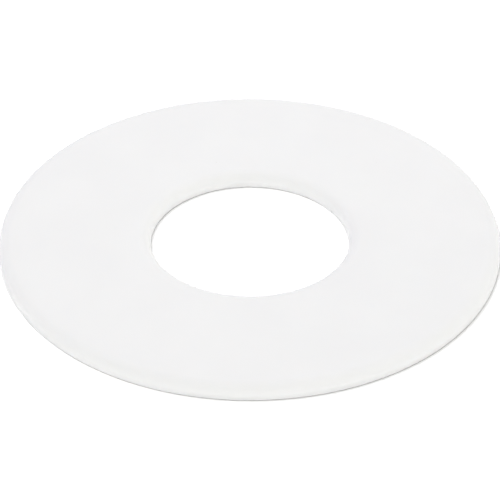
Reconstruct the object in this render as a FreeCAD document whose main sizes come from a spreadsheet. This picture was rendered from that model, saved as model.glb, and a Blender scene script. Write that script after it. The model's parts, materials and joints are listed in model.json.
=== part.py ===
import FreeCAD, Part
import math
import os
import Sketcher

# Flat seal ring for the flush valve of a toilet tank, moulded as one piece in soft white silicone.
# It lies on its underside. The origin is on the ring's axis at the underside, and +Z points up.
# All sizes are in millimetres.

SIZES = {
    "outer_diameter": 63.0,
    "hole_diameter": 25.0,
    "thickness": 1.8,
    # The top face rounds off towards its two edges in a shoulder: an arc that starts this far from the wall
    "shoulder_width": 1.6,
    "shoulder_radius": 2.4,
    # A smaller arc turns each shoulder into the wall
    "corner_radius": 1.2,
    # The underside is flat, and its two edges are only just rounded
    "foot_radius": 0.1,
}

# The ends of a sketch's line or arc, and the sketch's own origin, as its constraints number them
START, END = 1, 2
SKETCH_ORIGIN = (-1, 1)
SKETCH_X_AXIS = -1


def make_size_sheet(doc):
    sheet = doc.addObject("Spreadsheet::Sheet", "Sizes")
    for row, (name, value) in enumerate(SIZES.items(), start=1):
        sheet.set("A%d" % row, name)
        sheet.set("B%d" % row, "%g" % value)
        sheet.setAlias("B%d" % row, name)
    doc.recompute()


class UpperCorner:
    """One upper corner of the section: a shoulder arc from the top face, then a smaller arc to the wall.

    outward is +1 where the wall faces away from the ring's axis and -1 in the hole.
    """

    def __init__(self, wall_x, outward):
        width = SIZES["shoulder_width"]
        shoulder_radius = SIZES["shoulder_radius"]
        corner_radius = SIZES["corner_radius"]
        # Both arcs are tangent where they meet, so their centres are one difference of radii apart
        across = width - corner_radius
        along = math.sqrt((shoulder_radius - corner_radius) ** 2 - across ** 2)
        self.face_end = FreeCAD.Vector(wall_x - outward * width, SIZES["thickness"], 0)
        self.shoulder_centre = self.face_end - FreeCAD.Vector(0, shoulder_radius, 0)
        self.small_centre = self.shoulder_centre + FreeCAD.Vector(outward * across, along, 0)
        self.wall_end = self.small_centre + FreeCAD.Vector(outward * corner_radius, 0, 0)
        towards_meeting = self.small_centre - self.shoulder_centre
        towards_meeting.normalize()
        self.meeting = self.shoulder_centre + towards_meeting * shoulder_radius


class Foot:
    """One lower corner of the section: a small arc from the wall to the underside."""

    def __init__(self, wall_x, outward):
        radius = SIZES["foot_radius"]
        self.centre = FreeCAD.Vector(wall_x - outward * radius, radius, 0)
        self.wall_end = FreeCAD.Vector(wall_x, radius, 0)
        self.face_end = FreeCAD.Vector(self.centre.x, 0, 0)


def add_arc(sketch, centre, first, second):
    """Draws the short arc from first to second. Returns it, and which of its ends lies at each."""
    turn_normal = FreeCAD.Vector(0, 0, 1)
    circle = Part.Circle(centre, turn_normal, (first - centre).Length)
    first_angle = math.atan2(first.y - centre.y, first.x - centre.x)
    second_angle = math.atan2(second.y - centre.y, second.x - centre.x)
    turn = math.remainder(second_angle - first_angle, 2 * math.pi)
    if turn > 0:
        return sketch.addGeometry(Part.ArcOfCircle(circle, first_angle, first_angle + turn)), START, END
    return sketch.addGeometry(Part.ArcOfCircle(circle, first_angle + turn, first_angle)), END, START


def drive(sketch, name, constraint, expression):
    """Adds a constraint whose value comes from the size sheet."""
    index = sketch.addConstraint(constraint)
    sketch.renameConstraint(index, name)
    sketch.setExpression("Constraints." + name, expression)


def draw_section(sketch):
    """Draws the ring's section: x is the distance from the ring's axis and y is the height."""
    outer_x = SIZES["outer_diameter"] / 2
    hole_x = SIZES["hole_diameter"] / 2
    outer_corner = UpperCorner(outer_x, 1)
    hole_corner = UpperCorner(hole_x, -1)
    outer_foot = Foot(outer_x, 1)
    hole_foot = Foot(hole_x, -1)

    def add_line(first, second):
        return sketch.addGeometry(Part.LineSegment(first, second))

    underside = add_line(hole_foot.face_end, outer_foot.face_end)
    top_face = add_line(hole_corner.face_end, outer_corner.face_end)
    outer_wall = add_line(outer_foot.wall_end, outer_corner.wall_end)
    hole_wall = add_line(hole_foot.wall_end, hole_corner.wall_end)
    for face in (underside, top_face):
        sketch.addConstraint(Sketcher.Constraint("Horizontal", face))
    for wall in (outer_wall, hole_wall):
        sketch.addConstraint(Sketcher.Constraint("Vertical", wall))

    drive(sketch, "outer_radius",
          Sketcher.Constraint("DistanceX", *SKETCH_ORIGIN, outer_wall, START, outer_x),
          "Sizes.outer_diameter / 2")
    drive(sketch, "hole_radius",
          Sketcher.Constraint("DistanceX", *SKETCH_ORIGIN, hole_wall, START, hole_x),
          "Sizes.hole_diameter / 2")
    drive(sketch, "height",
          Sketcher.Constraint("DistanceY", underside, START, top_face, START, SIZES["thickness"]),
          "Sizes.thickness")
    sketch.addConstraint(Sketcher.Constraint("PointOnObject", underside, START, SKETCH_X_AXIS))

    def round_upper(name, corner, face, wall, low, high):
        """face and wall are the ends that the corner joins; low and high are the same two, by their x."""
        shoulder, at_face, at_small = add_arc(
            sketch, corner.shoulder_centre, corner.face_end, corner.meeting)
        small, at_shoulder, at_wall = add_arc(
            sketch, corner.small_centre, corner.meeting, corner.wall_end)
        sketch.addConstraint(Sketcher.Constraint("Tangent", *face, shoulder, at_face))
        sketch.addConstraint(Sketcher.Constraint("Tangent", shoulder, at_small, small, at_shoulder))
        sketch.addConstraint(Sketcher.Constraint("Tangent", small, at_wall, *wall))
        drive(sketch, name + "_shoulder_width",
              Sketcher.Constraint("DistanceX", *low, *high, SIZES["shoulder_width"]),
              "Sizes.shoulder_width")
        drive(sketch, name + "_shoulder_radius",
              Sketcher.Constraint("Radius", shoulder, SIZES["shoulder_radius"]),
              "Sizes.shoulder_radius")
        drive(sketch, name + "_corner_radius",
              Sketcher.Constraint("Radius", small, SIZES["corner_radius"]),
              "Sizes.corner_radius")

    def round_foot(name, foot, face, wall):
        arc, at_face, at_wall = add_arc(sketch, foot.centre, foot.face_end, foot.wall_end)
        sketch.addConstraint(Sketcher.Constraint("Tangent", *face, arc, at_face))
        sketch.addConstraint(Sketcher.Constraint("Tangent", arc, at_wall, *wall))
        drive(sketch, name + "_foot_radius",
              Sketcher.Constraint("Radius", arc, SIZES["foot_radius"]),
              "Sizes.foot_radius")

    outer_face_end, outer_wall_end = (top_face, END), (outer_wall, END)
    hole_face_end, hole_wall_end = (top_face, START), (hole_wall, END)
    round_upper("outer", outer_corner, outer_face_end, outer_wall_end, outer_face_end, outer_wall_end)
    round_upper("hole", hole_corner, hole_face_end, hole_wall_end, hole_wall_end, hole_face_end)
    round_foot("outer", outer_foot, (underside, END), (outer_wall, START))
    round_foot("hole", hole_foot, (underside, START), (hole_wall, START))


def make_gasket_ring(doc):
    """Turns the section once around the upright axis."""
    ring = doc.addObject("PartDesign::Body", "GasketRing")
    ring.Label = "gasket_ring"
    upright_plane = next(f for f in ring.Origin.OriginFeatures if f.Role == "XZ_Plane")
    section = ring.newObject("Sketcher::SketchObject", "RingSection")
    section.AttachmentSupport = (upright_plane, [""])
    section.MapMode = "FlatFace"
    draw_section(section)
    doc.recompute()
    turned = ring.newObject("PartDesign::Revolution", "TurnedRing")
    turned.Profile = section
    turned.ReferenceAxis = (section, ["V_Axis"])
    turned.Angle = 360
    ring.Tip = turned
    doc.recompute()
    return ring


def check_model(doc, ring):
    for item in doc.Objects:
        if {"Invalid", "Error"} & set(item.State):
            raise RuntimeError("%s failed: %s" % (item.Label, item.State))
    if not doc.getObject("RingSection").FullyConstrained:
        raise RuntimeError("the section isn't fully constrained")
    if ring.Shape.isNull() or not ring.Shape.isValid() or len(ring.Shape.Solids) != 1:
        raise RuntimeError("%s isn't one valid solid" % ring.Label)


def main():
    doc = FreeCAD.newDocument("toilet_tank_gasket")
    make_size_sheet(doc)
    ring = make_gasket_ring(doc)
    check_model(doc, ring)
    os.makedirs("parts", exist_ok=True)
    ring.Shape.exportStep("parts/%s.step" % ring.Label)
    box = ring.Shape.optimalBoundingBox(False, False)
    print("%s: %.2f x %.2f x %.2f mm, lowest point %.4f mm, %.1f mm3" % (
        ring.Label, box.XLength, box.YLength, box.ZLength, box.ZMin, ring.Shape.Volume))


main()
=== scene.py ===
import json
import math

import bpy
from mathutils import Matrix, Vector


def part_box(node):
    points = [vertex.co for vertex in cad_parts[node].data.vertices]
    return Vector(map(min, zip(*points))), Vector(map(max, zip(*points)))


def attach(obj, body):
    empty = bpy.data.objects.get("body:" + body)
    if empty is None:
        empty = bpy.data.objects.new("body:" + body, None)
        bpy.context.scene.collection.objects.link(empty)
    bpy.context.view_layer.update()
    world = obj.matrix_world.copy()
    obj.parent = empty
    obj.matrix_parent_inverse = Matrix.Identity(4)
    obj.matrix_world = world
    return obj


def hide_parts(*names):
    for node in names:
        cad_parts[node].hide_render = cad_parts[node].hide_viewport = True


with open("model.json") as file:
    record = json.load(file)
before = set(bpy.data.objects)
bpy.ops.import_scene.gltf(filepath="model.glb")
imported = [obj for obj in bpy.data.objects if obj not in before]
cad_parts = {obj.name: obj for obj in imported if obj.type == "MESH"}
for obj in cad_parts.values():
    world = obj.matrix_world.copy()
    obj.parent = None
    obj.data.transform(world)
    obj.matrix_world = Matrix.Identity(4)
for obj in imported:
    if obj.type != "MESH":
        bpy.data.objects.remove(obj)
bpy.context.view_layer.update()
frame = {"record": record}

MM = 0.001

# The ring's own sizes, in metres. The outside and the thickness are the frame's, the hole is its mount's.
RING_LOW, RING_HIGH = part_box("gasket_ring")
OUTER_RADIUS = (RING_HIGH[0] - RING_LOW[0]) / 2
THICKNESS = RING_HIGH[2] - RING_LOW[2]
CENTRE_HOLE = next(m for m in frame["record"]["mounts"] if m["name"] == "centre_hole")
HOLE_RADIUS = CENTRE_HOLE["dims"]["r_mm"] * MM

# The ring's section: an arc rounds the top face off towards each edge, a smaller one turns it into the
# wall, and the flat underside's edges are only just rounded
RING_SIZES = {
    "Outer Radius": OUTER_RADIUS,
    "Hole Radius": HOLE_RADIUS,
    "Thickness": THICKNESS,
    "Shoulder Width": 1.6 * MM,
    "Shoulder Radius": 2.4 * MM,
    "Corner Radius": 1.2 * MM,
    "Foot Radius": 0.1 * MM,
}
RING_STEPS = {
    "Steps Round Ring": 512,
    "Steps Per Shoulder": 12,
    "Steps Per Corner": 20,
    "Steps Per Foot": 5,
}


class NodeTree:
    """Short calls to add and link the nodes of one tree."""

    def __init__(self, tree):
        self.tree = tree

    def add(self, kind, inputs=None, **settings):
        node = self.tree.nodes.new(kind)
        for name, value in settings.items():
            setattr(node, name, value)
        for socket, value in (inputs or {}).items():
            self.feed(node.inputs[socket], value)
        return node

    def feed(self, socket, value):
        if isinstance(value, bpy.types.NodeSocket):
            self.tree.links.new(value, socket)
        else:
            socket.default_value = value

    def math(self, operation, *values):
        node = self.tree.nodes.new("ShaderNodeMath")
        node.operation = operation
        for socket, value in zip(node.inputs, values):
            self.feed(socket, value)
        return node.outputs[0]

    def blend_colours(self, share, first, second):
        """The Mix node gives each kind of value sockets of the same names, so a colour's go by number."""
        return self.add("ShaderNodeMix", {0: share, 6: first, 7: second}, data_type="RGBA").outputs[2]


# The ring, turned from its section

def section_tree():
    """The tree that turns the six-cornered section, with its corners rounded, round the upright axis."""
    tree = bpy.data.node_groups.new("turned_seal_ring", "GeometryNodeTree")
    for name in RING_SIZES:
        tree.interface.new_socket(name, in_out="INPUT", socket_type="NodeSocketFloat")
    for name in RING_STEPS:
        tree.interface.new_socket(name, in_out="INPUT", socket_type="NodeSocketInt")
    tree.interface.new_socket("Material", in_out="INPUT", socket_type="NodeSocketMaterial")
    tree.interface.new_socket("Ring", in_out="OUTPUT", socket_type="NodeSocketGeometry")
    t = NodeTree(tree)
    size = t.add("NodeGroupInput").outputs

    # How far in from the wall, and how far down from the face, the section's upper corners lie. Both
    # follow from the shoulder's slope at its low end.
    slope = t.math("ARCSINE", t.math(
        "DIVIDE",
        t.math("SUBTRACT", size["Shoulder Width"], size["Corner Radius"]),
        t.math("SUBTRACT", size["Shoulder Radius"], size["Corner Radius"]),
    ))
    face_inset = t.math("SUBTRACT", size["Shoulder Width"], t.math(
        "MULTIPLY", size["Shoulder Radius"], t.math("TANGENT", t.math("MULTIPLY", slope, 0.5))))
    wall_drop = t.math("MULTIPLY", face_inset, t.math("TANGENT", slope))
    half_width = t.math("MULTIPLY", t.math("SUBTRACT", size["Outer Radius"], size["Hole Radius"]), 0.5)
    half_height = t.math("MULTIPLY", size["Thickness"], 0.5)

    # A hexagon's lower two points become the top face's ends, its middle two the walls' ends and its
    # upper two the feet, because the sweep turns the section's Y downwards
    hexagon = t.add("GeometryNodeCurvePrimitiveCircle", {"Resolution": 6, "Radius": 1.0})
    point = t.add("GeometryNodeInputPosition").outputs["Position"]
    place = t.add("ShaderNodeSeparateXYZ", {"Vector": point}).outputs
    is_face_end = t.math("LESS_THAN", place["Y"], -0.5)
    is_foot = t.math("GREATER_THAN", place["Y"], 0.5)
    is_wall_end = t.math("SUBTRACT", t.math("SUBTRACT", 1.0, is_face_end), is_foot)

    def pick(at_face_end, at_wall_end, at_foot):
        upper = t.math("MULTIPLY", is_wall_end, at_wall_end)
        upper = t.math("MULTIPLY_ADD", is_face_end, at_face_end, upper)
        return t.math("MULTIPLY_ADD", is_foot, at_foot, upper)

    rounding = pick(size["Shoulder Radius"], size["Corner Radius"], size["Foot Radius"])
    steps = pick(size["Steps Per Shoulder"], size["Steps Per Corner"], size["Steps Per Foot"])
    points = t.add("GeometryNodeCaptureAttribute", {"Geometry": hexagon.outputs["Curve"]})
    for name, value in (("Rounding", rounding), ("Steps", steps)):
        points.capture_items.new("FLOAT", name)
        t.feed(points.inputs[name], value)
    across = t.math("SUBTRACT", half_width, t.math("MULTIPLY", is_face_end, face_inset))
    face_level = t.math("MULTIPLY", half_height, -1.0)
    wall_end_level = t.math("SUBTRACT", wall_drop, half_height)
    below = pick(face_level, wall_end_level, half_height)
    corner = t.add("ShaderNodeCombineXYZ", {
        "X": t.math("MULTIPLY", t.math("SIGN", place["X"]), across), "Y": below})
    section = t.add("GeometryNodeSetPosition", {
        "Geometry": points.outputs["Geometry"], "Position": corner.outputs[0]})
    rounded = t.add("GeometryNodeFilletCurve", {
        "Curve": section.outputs["Geometry"], "Radius": points.outputs["Rounding"],
        "Count": points.outputs["Steps"], "Limit Radius": False}, mode="POLY")

    path_radius = t.math("MULTIPLY", t.math("ADD", size["Outer Radius"], size["Hole Radius"]), 0.5)
    path = t.add("GeometryNodeCurvePrimitiveCircle", {
        "Resolution": size["Steps Round Ring"], "Radius": path_radius})
    swept = t.add("GeometryNodeCurveToMesh", {
        "Curve": path.outputs["Curve"], "Profile Curve": rounded.outputs["Curve"]})
    merged = t.add("GeometryNodeMergeByDistance", {
        "Geometry": swept.outputs["Mesh"], "Distance": 0.001 * MM})
    lift = t.add("ShaderNodeCombineXYZ", {"Z": half_height}).outputs[0]
    lifted = t.add("GeometryNodeTransform", {
        "Geometry": merged.outputs["Geometry"], "Translation": lift})
    smooth = t.add("GeometryNodeSetShadeSmooth", {
        "Geometry": lifted.outputs["Geometry"], "Shade Smooth": True})
    real = t.add("GeometryNodeRealizeInstances", {"Geometry": smooth.outputs["Geometry"]})
    done = t.add("GeometryNodeSetMaterial", {
        "Geometry": real.outputs["Geometry"], "Material": size["Material"]})
    t.add("NodeGroupOutput", {"Ring": done.outputs["Geometry"]})
    return tree


def make_ring(material):
    tree = section_tree()
    ring = bpy.data.objects.new("gasket_ring_rubber", bpy.data.meshes.new("gasket_ring_rubber"))
    bpy.context.scene.collection.objects.link(ring)
    modifier = ring.modifiers.new("turned", "NODES")
    modifier.node_group = tree
    values = {**RING_SIZES, **RING_STEPS, "Material": material}
    for item in tree.interface.items_tree:
        if item.in_out == "INPUT":
            modifier[item.identifier] = values[item.name]
    evaluated = ring.evaluated_get(bpy.context.evaluated_depsgraph_get())
    ring.data = bpy.data.meshes.new_from_object(evaluated)
    ring.modifiers.clear()
    return ring


# Finishes

SILICONE_PALE = (0.907, 0.907, 0.905, 1)
SILICONE_CLOUDED = (0.897, 0.897, 0.898, 1)
SPECK_COLOUR = (0.80, 0.79, 0.76, 1)
CLOUD_SIZE = 9.0 * MM
# Below the first noise value the rubber is wholly pale, above the second wholly clouded
CLOUD_EDGES = (0.3, 0.7)
# The clouded patches are a little duller
ROUGHNESS_PALE = 0.47
ROUGHNESS_CLOUDED = 0.53
GRAIN_SIZE = 0.3 * MM
GRAIN_HEIGHT = 0.005 * MM
SPECK_SPACING = 5.0 * MM
SPECK_RADIUS = 0.16 * MM


def white_silicone():
    """Soft white silicone rubber: satin, a little clouded, with a fine moulded grain and a few specks."""
    material = bpy.data.materials.new("white_silicone")
    material.use_nodes = True
    t = NodeTree(material.node_tree)
    shader = material.node_tree.nodes["Principled BSDF"]
    place = t.add("ShaderNodeTexCoord").outputs["Object"]

    noise = t.add("ShaderNodeTexNoise", {
        "Vector": place, "Scale": 1 / CLOUD_SIZE, "Detail": 3.0, "Roughness": 0.6}).outputs["Fac"]
    clouds = t.add("ShaderNodeMapRange", {
        "Value": noise, "From Min": CLOUD_EDGES[0], "From Max": CLOUD_EDGES[1],
        }, interpolation_type="SMOOTHSTEP").outputs["Result"]
    rubber = t.blend_colours(clouds, SILICONE_PALE, SILICONE_CLOUDED)
    # Specks sit on scattered points in the rubber, so only those near its skin show
    to_speck = t.add("ShaderNodeTexVoronoi", {
        "Vector": place, "Scale": 1 / SPECK_SPACING}).outputs["Distance"]
    speck = t.add("ShaderNodeMapRange", {
        "Value": to_speck, "From Min": 0.0, "From Max": SPECK_RADIUS / SPECK_SPACING,
        "To Min": 1.0, "To Max": 0.0}, interpolation_type="SMOOTHSTEP").outputs["Result"]
    t.feed(shader.inputs["Base Color"], t.blend_colours(speck, rubber, SPECK_COLOUR))

    t.feed(shader.inputs["Roughness"], t.math(
        "MULTIPLY_ADD", clouds, ROUGHNESS_CLOUDED - ROUGHNESS_PALE, ROUGHNESS_PALE))
    grain = t.add("ShaderNodeTexNoise", {
        "Vector": place, "Scale": 1 / GRAIN_SIZE, "Detail": 2.0, "Roughness": 0.5}).outputs["Fac"]
    bump = t.add("ShaderNodeBump", {"Height": grain, "Strength": 1.0, "Distance": GRAIN_HEIGHT})
    t.feed(shader.inputs["Normal"], bump.outputs["Normal"])
    shader.inputs["IOR"].default_value = 1.41
    shader.inputs["Subsurface Weight"].default_value = 0.3
    shader.inputs["Subsurface Radius"].default_value = (1.0, 0.95, 0.9)
    shader.inputs["Subsurface Scale"].default_value = 0.1 * MM
    return material


def seen_ray(t):
    """1 for a ray that shows what it meets, straight or in a gloss, and 0 for one that only lights."""
    ray = t.add("ShaderNodeLightPath").outputs
    return t.math("MAXIMUM", ray["Is Camera Ray"], t.math(
        "MAXIMUM", ray["Is Glossy Ray"], ray["Is Transmission Ray"]))


FLOOR_SIDE = 4.0
# How light the floor is where it is seen, and where it only throws light back at the ring
FLOOR_SEEN = 0.54
FLOOR_BOUNCE = 0.44


def plain_floor():
    """Plain matt paper, which a lamp of its own lifts to white. Only the ring's shade stays under white."""
    material = bpy.data.materials.new("plain_floor")
    material.use_nodes = True
    material.node_tree.nodes.clear()
    t = NodeTree(material.node_tree)
    tone = t.math("MULTIPLY_ADD", seen_ray(t), FLOOR_SEEN - FLOOR_BOUNCE, FLOOR_BOUNCE)
    colour = t.add("ShaderNodeCombineColor", {"Red": tone, "Green": tone, "Blue": tone}).outputs[0]
    paper = t.add("ShaderNodeBsdfDiffuse", {"Color": colour}).outputs[0]
    t.add("ShaderNodeOutputMaterial", {"Surface": paper})
    return material


def make_floor(material):
    mesh = bpy.data.meshes.new("floor")
    h = FLOOR_SIDE / 2
    mesh.from_pydata([(-h, -h, 0), (h, -h, 0), (h, h, 0), (-h, h, 0)], [], [(0, 1, 2, 3)])
    mesh.materials.append(material)
    floor = bpy.data.objects.new("floor", mesh)
    bpy.context.scene.collection.objects.link(floor)
    return floor


# Light

# The even sky, and its soft panels: azimuth and elevation in degrees, and the colour each adds
SKY_COLOUR = (0.752, 0.749, 0.746)
SKY_PANELS = (
    # A warm one low on the right
    (0, 8, (0.80, 0.80, 0.70)),
    # One in front, and a weaker one in front on the left
    (270, 45, (0.59, 0.59, 0.56)),
    (210, 40, (0.31, 0.32, 0.29)),
    # A faint blue one, low behind on the left
    (135, 8, (0.04, 0.01, 0.25)),
)
# The larger this is, the narrower a panel
PANEL_SHARPNESS = 8.0


def aim(obj, place, target):
    obj.location = place
    obj.rotation_euler = (Vector(target) - Vector(place)).to_track_quat("-Z", "Y").to_euler()


def direction(azimuth, elevation):
    """Azimuth is counted from +X towards +Y, both angles in degrees."""
    a, e = math.radians(azimuth), math.radians(elevation)
    return Vector((math.cos(e) * math.cos(a), math.cos(e) * math.sin(a), math.sin(e)))


def add_softbox(name, azimuth, elevation, distance, side, brightness, colour):
    lamp = bpy.data.lights.new(name, "AREA")
    lamp.shape = "SQUARE"
    lamp.size = side
    # Seen face on from this distance, it lights a white matt surface to this brightness
    lamp.energy = brightness * (math.pi * distance) ** 2
    lamp.color = colour
    box = bpy.data.objects.new(name, lamp)
    bpy.context.scene.collection.objects.link(box)
    aim(box, direction(azimuth, elevation) * distance, (0, 0, 0))


# Azimuth and elevation in degrees, how wide the lamp looks from the floor, and its brightness there
FLOOR_LAMP_DIRECTION = (141, 73.6)
FLOOR_LAMP_WIDTH = math.radians(46)
FLOOR_LAMP_BRIGHTNESS = 1.25


def add_floor_lamp(floor):
    """A far lamp that lights the floor alone. The ring stops its light, which leaves shade at its foot."""
    lamp = bpy.data.lights.new("floor_lamp", "SUN")
    lamp.angle = FLOOR_LAMP_WIDTH
    lamp.energy = FLOOR_LAMP_BRIGHTNESS * math.pi / direction(*FLOOR_LAMP_DIRECTION).z
    far = bpy.data.objects.new("floor_lamp", lamp)
    bpy.context.scene.collection.objects.link(far)
    aim(far, direction(*FLOOR_LAMP_DIRECTION), (0, 0, 0))
    lit = bpy.data.collections.new("lit_by_floor_lamp")
    lit.objects.link(floor)
    far.light_linking.receiver_collection = lit


def plain_sky():
    """An even sky with wide soft panels on it. Where it is seen, it is white."""
    world = bpy.data.worlds.new("plain_sky")
    world.use_nodes = True
    world.node_tree.nodes.clear()
    t = NodeTree(world.node_tree)
    place = t.add("ShaderNodeTexCoord").outputs["Generated"]
    colour = SKY_COLOUR
    for azimuth, elevation, panel_colour in SKY_PANELS:
        facing = t.add("ShaderNodeVectorMath", {
            0: place, 1: direction(azimuth, elevation)}, operation="DOT_PRODUCT").outputs["Value"]
        spread = t.math("POWER", t.math("MAXIMUM", facing, 0.0), PANEL_SHARPNESS)
        colour = t.add("ShaderNodeVectorMath", {
            0: panel_colour, 1: spread, 2: colour}, operation="MULTIPLY_ADD").outputs["Vector"]
    lighting = t.add("ShaderNodeBackground", {"Color": colour, "Strength": 1.0}).outputs[0]
    white = t.add("ShaderNodeBackground", {"Color": (1, 1, 1, 1), "Strength": 1.0}).outputs[0]
    mixed = t.add("ShaderNodeMixShader", {0: seen_ray(t), 1: lighting, 2: white}).outputs[0]
    t.add("ShaderNodeOutputWorld", {"Surface": mixed})
    return world


# Camera

CAMERA_ELEVATION = 35.70
CAMERA_DISTANCE = 392.0 * MM
LENS_MM = 224.49
SENSOR_MM = 36.0
CAMERA_ROLL = 0.061
PICTURE_SIDE = 500
PIXEL = CAMERA_DISTANCE * SENSOR_MM / LENS_MM / PICTURE_SIDE
RING_CENTRE_ABOVE_MIDDLE = 17.58 * PIXEL
RING_CENTRE_RIGHT_OF_MIDDLE = -0.12 * PIXEL


def add_camera():
    camera = bpy.data.cameras.new("camera")
    camera.lens = LENS_MM
    camera.sensor_width = SENSOR_MM
    viewer = bpy.data.objects.new("camera", camera)
    bpy.context.scene.collection.objects.link(viewer)
    centre = Vector((0, 0, THICKNESS))
    place = centre + direction(-90, CAMERA_ELEVATION) * CAMERA_DISTANCE
    e = math.radians(CAMERA_ELEVATION)
    up = Vector((0, math.sin(e), math.cos(e)))
    target = centre - up * RING_CENTRE_ABOVE_MIDDLE - Vector((RING_CENTRE_RIGHT_OF_MIDDLE, 0, 0))
    aim(viewer, place, target)
    viewer.rotation_euler.rotate_axis("Z", math.radians(CAMERA_ROLL))
    bpy.context.scene.camera = viewer


ring = make_ring(white_silicone())
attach(ring, "root")
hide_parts("gasket_ring")
floor = make_floor(plain_floor())
add_floor_lamp(floor)
bpy.context.scene.world = plain_sky()
add_softbox("softbox_behind", azimuth=90, elevation=45, distance=0.4, side=0.2,
            brightness=0.113, colour=(0.91, 0.90, 1.0))
add_camera()
bpy.context.scene.view_settings.view_transform = "Standard"
